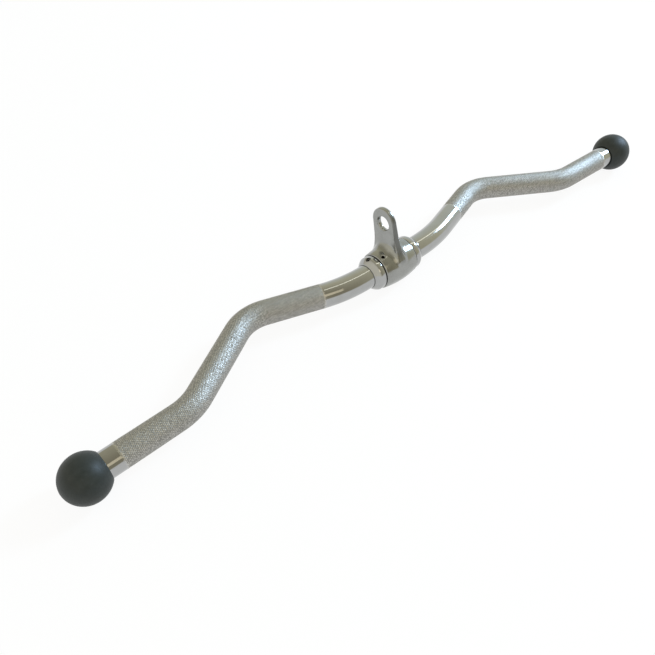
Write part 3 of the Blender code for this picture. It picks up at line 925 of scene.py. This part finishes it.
def build_washer_mesh(side, settings):
    """A flat thrust washer with rounded outer rims."""
    bore = settings.bar.diameter / 2 + settings.fittings.gap
    outer = (WASHER_HIGH.y - WASHER_LOW.y) / 2
    edge = settings.fittings.washer_edge
    low = WASHER_LOW.x
    high = WASHER_HIGH.x
    profile = [(bore, high)] + arc((outer - edge, high - edge), edge, math.pi / 2, 0, 3)
    profile += arc((outer - edge, low + edge), edge, 0, -math.pi / 2, 3) + [(bore, low)]
    return turned_ring("washer_surface_" + side, profile, side, settings.fittings.sides)


class TRICEPSBAR_OT_stage(bpy.types.Operator):
    """Make the floor, the lights, the room and the camera"""

    bl_idname = "triceps_bar.stage"
    bl_label = "Stage"

    def execute(self, context):
        studio = context.scene.triceps_bar.studio
        make_floor(studio)
        make_room(context.scene, studio)
        make_lights(studio)
        make_camera(context.scene, studio)
        context.scene.view_settings.view_transform = "Standard"
        return {"FINISHED"}


def make_floor(studio):
    """A pale floor that camera and metal see as the white backdrop, with the object's shadow."""
    bm = bmesh.new()
    bmesh.ops.create_grid(bm, x_segments=1, y_segments=1, size=studio.floor_size / 2)
    mesh = bpy.data.meshes.new("floor")
    bm.to_mesh(mesh)
    bm.free()
    floor = new_object("floor", mesh)
    material = bpy.data.materials.new("pale_floor")
    material.use_nodes = True
    shader = Shader(material.node_tree)
    lit = shader.add("BsdfDiffuse", {"Color": studio.floor_colour})
    glow = shader.add("Emission", {"Color": studio.backdrop, "Strength": 1.0})
    rays = [shader.add("LightPath", {}, name)
            for name in ("Is Camera Ray", "Is Glossy Ray", "Is Transmission Ray")]
    seen = (rays[0] + rays[1] + rays[2]).clamped()
    blend = shader.add("MixShader", {0: seen * BACKDROP_SHARE, 1: lit, 2: glow})
    shader.add("OutputMaterial", {"Surface": blend})
    mesh.materials.append(material)


def make_room(scene, studio):
    """The world: a soft room, warm and dim toward the camera's side, pale at its two ends."""
    world = bpy.data.worlds.new("room")
    scene.world = world
    world.use_nodes = True
    shader = Shader(world.node_tree)
    direction = shader.add("TexCoord", {}, "Generated")
    lit_side = shader.add("VectorMath", {0: direction, 1: WINDOW_SIDE}, "Value", operation="DOT_PRODUCT")
    wall_side = shader.add("SeparateXYZ", {0: direction}, "X")
    warm = shader.mixed(lit_side.between(0.0, 0.6), studio.room_dim, studio.room_warm)
    room = shader.mixed(lit_side.between(0.6, 0.85), warm, studio.room_light)
    sky = shader.mixed(wall_side.between(0.05, -0.5), room, studio.room_wall)
    horizon = shader.add("SeparateXYZ", {0: direction}, "Z").between(0.16, 0.05)
    sky = shader.mixed(horizon, sky, studio.room_horizon)
    light = shader.add("Background", {"Color": sky, "Strength": studio.room_strength})
    shader.add("OutputWorld", {"Surface": light})


def make_lights(studio):
    """A cool window to the right, a weak warm light behind the camera and a strip overhead."""
    window = add_light("window", studio.window_power, size=(1.1, 1.1), place=(2.80, -0.42, 1.85),
                       tint=(0.54, 0.74, 1.0))
    fade_to_edges(window)
    add_light("warm_fill", studio.warm_power, size=(1.0, 0.5), place=(-0.20, -1.09, 1.00),
              tint=(1.0, 0.88, 0.66))
    add_light("strip", studio.strip_power, size=(0.12, 1.3), place=(0.95, 0.0, 1.5), tint=(1.0, 0.98, 0.88))


def add_light(name, watts, size, place, tint):
    """An area light that faces the middle of the bar."""
    lamp = bpy.data.lights.new(name, "AREA")
    lamp.shape = "RECTANGLE"
    lamp.size, lamp.size_y = size
    lamp.energy = watts
    lamp.color = tint
    light = new_object(name, lamp)
    light.location = place
    light.rotation_euler = (SWIVEL - Vector(place)).to_track_quat("-Z", "Y").to_euler()
    return lamp


def fade_to_edges(lamp):
    """Let a lamp fade from its middle to its edges, so that its reflection has soft edges."""
    lamp.use_nodes = True
    shader = Shader(lamp.node_tree)
    place = shader.add("NewGeometry", {}, "Parametric")
    middle = (0.5, 0.5, 0)
    off_centre = shader.add("VectorMath", {0: place, 1: middle}, "Value", operation="DISTANCE")
    glow = shader.add("Emission", {"Color": (1, 1, 1), "Strength": off_centre.between(0.5, 0.08)})
    shader.add("OutputLight", {"Surface": glow})


def make_camera(scene, studio):
    """The camera at the photo's place and angle."""
    camera = bpy.data.cameras.new("camera")
    camera.lens = studio.focal_length
    camera.sensor_width = SENSOR_WIDTH
    camera.clip_start = 0.01
    camera_object = new_object("camera", camera)
    right = CAMERA_RIGHT.normalized()
    forward = CAMERA_FORWARD.normalized()
    up = right.cross(forward).normalized()
    axes = Matrix((right, up, -forward)).transposed()
    camera_object.matrix_world = Matrix.Translation(CAMERA_PLACE) @ axes.to_4x4()
    scene.camera = camera_object


class TRICEPSBAR_OT_bar(bpy.types.Operator):
    """Sweep the bent bar with its knurled grips"""

    bl_idname = "triceps_bar.bar"
    bl_label = "Bent Bar"

    def execute(self, context):
        settings = context.scene.triceps_bar
        material = new_material(knurled_chrome, settings.finishes)
        new_piece(build_bar_mesh(settings.bar), material, "bar_chrome", "bar", "bent_bar")
        return {"FINISHED"}


class TRICEPSBAR_OT_balls(bpy.types.Operator):
    """Mould the two rubber ball ends"""

    bl_idname = "triceps_bar.balls"
    bl_label = "Ball Ends"

    def execute(self, context):
        new_pair(context.scene.triceps_bar, moulded_rubber, "ball_rubber", "ball_end", build_ball_mesh)
        return {"FINISHED"}


class TRICEPSBAR_OT_hanger(bpy.types.Operator):
    """Cast the swivel hanger"""

    bl_idname = "triceps_bar.hanger"
    bl_label = "Swivel Hanger"

    def execute(self, context):
        settings = context.scene.triceps_bar
        material = new_material(cast_chrome, settings.finishes)
        new_piece(build_hanger_mesh(settings.hanger), material, "hanger_chrome", "hanger", "swivel_hanger")
        return {"FINISHED"}


class TRICEPSBAR_OT_collars(bpy.types.Operator):
    """Turn the set collars, and drill them for their screws"""

    bl_idname = "triceps_bar.collars"
    bl_label = "Set Collars"

    def execute(self, context):
        new_pair(context.scene.triceps_bar, turned_chrome, "collar_chrome", "set_collar", build_collar_mesh)
        return {"FINISHED"}


class TRICEPSBAR_OT_screws(bpy.types.Operator):
    """Make the set screws"""

    bl_idname = "triceps_bar.screws"
    bl_label = "Set Screws"

    def execute(self, context):
        new_pair(context.scene.triceps_bar, oxide_steel, "screw_steel", "set_screw", build_screw_mesh)
        return {"FINISHED"}


class TRICEPSBAR_OT_washers(bpy.types.Operator):
    """Turn the thrust washers"""

    bl_idname = "triceps_bar.washers"
    bl_label = "Thrust Washers"

    def execute(self, context):
        new_pair(context.scene.triceps_bar, washer_nylon, "washer_nylon", "thrust_washer", build_washer_mesh)
        return {"FINISHED"}


class TRICEPSBAR_OT_bushes(bpy.types.Operator):
    """Give the bushes inside the barrel their bronze"""

    bl_idname = "triceps_bar.bushes"
    bl_label = "Bushes"

    def execute(self, context):
        material = new_material(porous_bronze, context.scene.triceps_bar.finishes)
        for side in SIDES:
            bush = frame["nodes"]["bush_" + side]
            for slot in bush.material_slots:
                slot.material = material
        return {"FINISHED"}


class TRICEPSBAR_PT_sidebar(bpy.types.Panel):
    """Sizes, finishes and the pieces to build"""

    bl_idname = "TRICEPSBAR_PT_sidebar"
    bl_label = "Triceps Cable Bar"
    bl_space_type = "VIEW_3D"
    bl_region_type = "UI"
    bl_category = "Cable Bar"

    def draw(self, context):
        settings = context.scene.triceps_bar
        for group in (settings.bar, settings.hanger, settings.fittings, settings.finishes, settings.studio):
            box = self.layout.box()
            for name in group.bl_rna.properties.keys():
                if name not in ("rna_type", "name"):
                    box.prop(group, name)
        for operator in OPERATORS:
            self.layout.operator(operator.bl_idname)


OPERATORS = (TRICEPSBAR_OT_stage, TRICEPSBAR_OT_bar, TRICEPSBAR_OT_balls, TRICEPSBAR_OT_hanger,
             TRICEPSBAR_OT_collars, TRICEPSBAR_OT_screws, TRICEPSBAR_OT_washers, TRICEPSBAR_OT_bushes)
GROUPS = (BarSizes, HangerSizes, FittingSizes, Finishes, StudioSettings, TricepsBarSettings)


def register():
    for cls in GROUPS + OPERATORS + (TRICEPSBAR_PT_sidebar,):
        bpy.utils.register_class(cls)
    bpy.types.Scene.triceps_bar = PointerProperty(type=TricepsBarSettings)


def unregister():
    del bpy.types.Scene.triceps_bar
    for cls in reversed(GROUPS + OPERATORS + (TRICEPSBAR_PT_sidebar,)):
        bpy.utils.unregister_class(cls)


def main():
    register()
    bpy.ops.triceps_bar.stage()
    bpy.ops.triceps_bar.bar()
    bpy.ops.triceps_bar.balls()
    bpy.ops.triceps_bar.hanger()
    bpy.ops.triceps_bar.collars()
    bpy.ops.triceps_bar.screws()
    bpy.ops.triceps_bar.washers()
    bpy.ops.triceps_bar.bushes()


if __name__ == "__main__":
    main()
